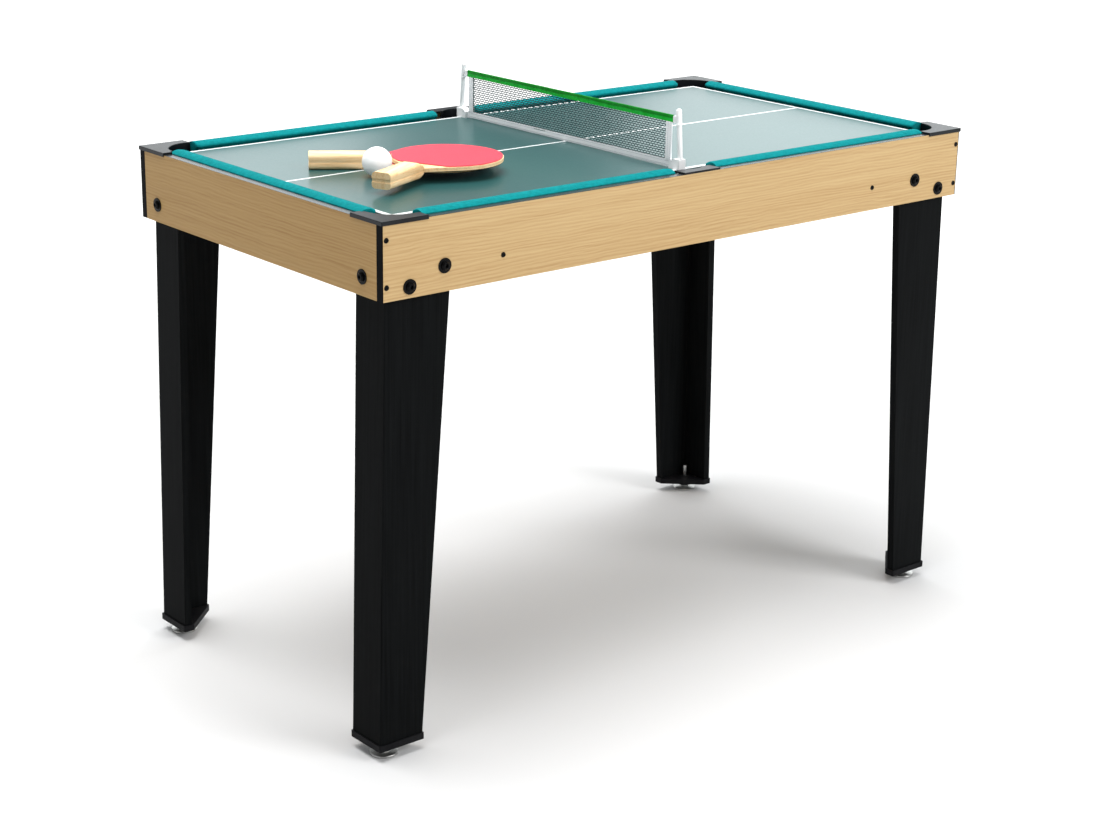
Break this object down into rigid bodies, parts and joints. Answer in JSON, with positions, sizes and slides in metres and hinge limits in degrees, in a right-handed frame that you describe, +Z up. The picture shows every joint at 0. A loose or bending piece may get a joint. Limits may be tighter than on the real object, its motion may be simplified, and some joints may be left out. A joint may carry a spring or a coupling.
{
  "type": "multi-game pool table",
  "caption": "Free-standing six-pocket games table with a lift-off table tennis board, clamp-on net, bats and ball, on splayed L-section legs with levelling feet.",
  "frame": {"origin": "on the floor, under the middle of the table", "axes": "+X along the table, +Y across it towards its back long side, +Z up"},
  "size_m": [1.069, 0.586, 0.8003],
  "materials": {
    "apron_wood": "satin printed wood grain",
    "black_edging": "satin",
    "black_screws": "satin black",
    "raw_board": "raw pressed board",
    "bed_cloth": "felt",
    "cushion_cloth": "felt over rubber",
    "plate_plastic": "moulded, semi-gloss",
    "cup_plastic": "moulded",
    "cap_plastic": "moulded",
    "black_steel": "satin black",
    "zinc_steel": "zinc plated",
    "leg_board": "black printed grain",
    "tennis_paint": "painted board, satin",
    "white_plastic": "moulded",
    "net_cord": "knotted net",
    "net_binding": "woven tape",
    "green_tape": "woven tape",
    "bat_rubber": "pimpled sheet",
    "bat_wood": "pale plywood, satin",
    "ball_plastic": "satin"
  },
  "bodies": {
    "table": {"bed_board": "raw_board", "bed_cleats": "raw_board", "bed_cloth": "bed_cloth", "corner_plate_back_left": "plate_plastic", "corner_plate_back_right": "plate_plastic", "corner_plate_front_left": "plate_plastic", "corner_plate_front_right": "plate_plastic", "cross_rails": "raw_board", "cushion_back_left": "cushion_cloth", "cushion_back_right": "cushion_cloth", "cushion_front_left": "cushion_cloth", "cushion_front_right": "cushion_cloth", "cushion_left_end": "cushion_cloth", "cushion_right_end": "cushion_cloth", "edge_strips": "black_edging", "end_panel_left": "apron_wood", "end_panel_right": "apron_wood", "leg_back_left": "leg_board", "leg_back_right": "leg_board", "leg_bolts": "black_steel", "leg_cap_back_left": "cap_plastic", "leg_cap_back_right": "cap_plastic", "leg_cap_front_left": "cap_plastic", "leg_cap_front_right": "cap_plastic", "leg_front_left": "leg_board", "leg_front_right": "leg_board", "leg_nuts": "zinc_steel", "leg_washers": "black_steel", "pocket_cup_back_left": "cup_plastic", "pocket_cup_back_middle": "cup_plastic", "pocket_cup_back_right": "cup_plastic", "pocket_cup_front_left": "cup_plastic", "pocket_cup_front_middle": "cup_plastic", "pocket_cup_front_right": "cup_plastic", "side_panel_back": "apron_wood", "side_panel_front": "apron_wood", "side_plate_back": "plate_plastic", "side_plate_front": "plate_plastic", "wood_screws": "black_screws"},
    "foot_front_left": {"foot_front_left": "zinc_steel"},
    "foot_front_right": {"foot_front_right": "zinc_steel"},
    "foot_back_left": {"foot_back_left": "zinc_steel"},
    "foot_back_right": {"foot_back_right": "zinc_steel"},
    "tennis_board": {"tennis_board": "tennis_paint", "net_clamp_front": "white_plastic", "net_clamp_back": "white_plastic"},
    "clamp_screw_front": {"clamp_screw_front": "white_plastic"},
    "clamp_screw_back": {"clamp_screw_back": "white_plastic"},
    "net": {"net_posts": "white_plastic", "net_mesh": "net_cord", "net_binding": "net_binding", "net_tape": "green_tape"},
    "lower_bat": {"bat_blade_lower": "bat_wood", "bat_rubbers_lower": "bat_rubber", "bat_handle_lower": "bat_wood"},
    "upper_bat": {"bat_blade_upper": "bat_wood", "bat_rubbers_upper": "bat_rubber", "bat_handle_upper": "bat_wood"},
    "ball": {"ball": "ball_plastic"}
  },
  "joints": [
    {"name": "foot_front_left_screw", "type": "slide", "parent": "table", "child": "foot_front_left", "axis": [0, 0, 1], "range_m": [-0.012, 0]},
    {"name": "foot_front_right_screw", "type": "slide", "parent": "table", "child": "foot_front_right", "axis": [0, 0, 1], "range_m": [-0.012, 0]},
    {"name": "foot_back_left_screw", "type": "slide", "parent": "table", "child": "foot_back_left", "axis": [0, 0, 1], "range_m": [-0.012, 0]},
    {"name": "foot_back_right_screw", "type": "slide", "parent": "table", "child": "foot_back_right", "axis": [0, 0, 1], "range_m": [-0.012, 0]},
    {"name": "board_lift", "type": "slide", "parent": "table", "child": "tennis_board", "axis": [0, 0, 1], "range_m": [0, 0.12]},
    {"name": "clamp_front_screw", "type": "slide", "parent": "tennis_board", "child": "clamp_screw_front", "axis": [0, 0, 1], "range_m": [-0.004, 0]},
    {"name": "clamp_back_screw", "type": "slide", "parent": "tennis_board", "child": "clamp_screw_back", "axis": [0, 0, 1], "range_m": [-0.004, 0]},
    {"name": "net_lift", "type": "slide", "parent": "tennis_board", "child": "net", "axis": [0, 0, 1], "range_m": [0, 0.1]},
    {"name": "lower_bat_lift", "type": "slide", "parent": "tennis_board", "child": "lower_bat", "axis": [0, 0, 1], "range_m": [0, 0.12]},
    {"name": "upper_bat_lift", "type": "slide", "parent": "lower_bat", "child": "upper_bat", "axis": [0, 0, 1], "range_m": [0, 0.12]},
    {"name": "ball_lift", "type": "slide", "parent": "tennis_board", "child": "ball", "axis": [0, 0, 1], "range_m": [0, 0.1]}
  ]
}
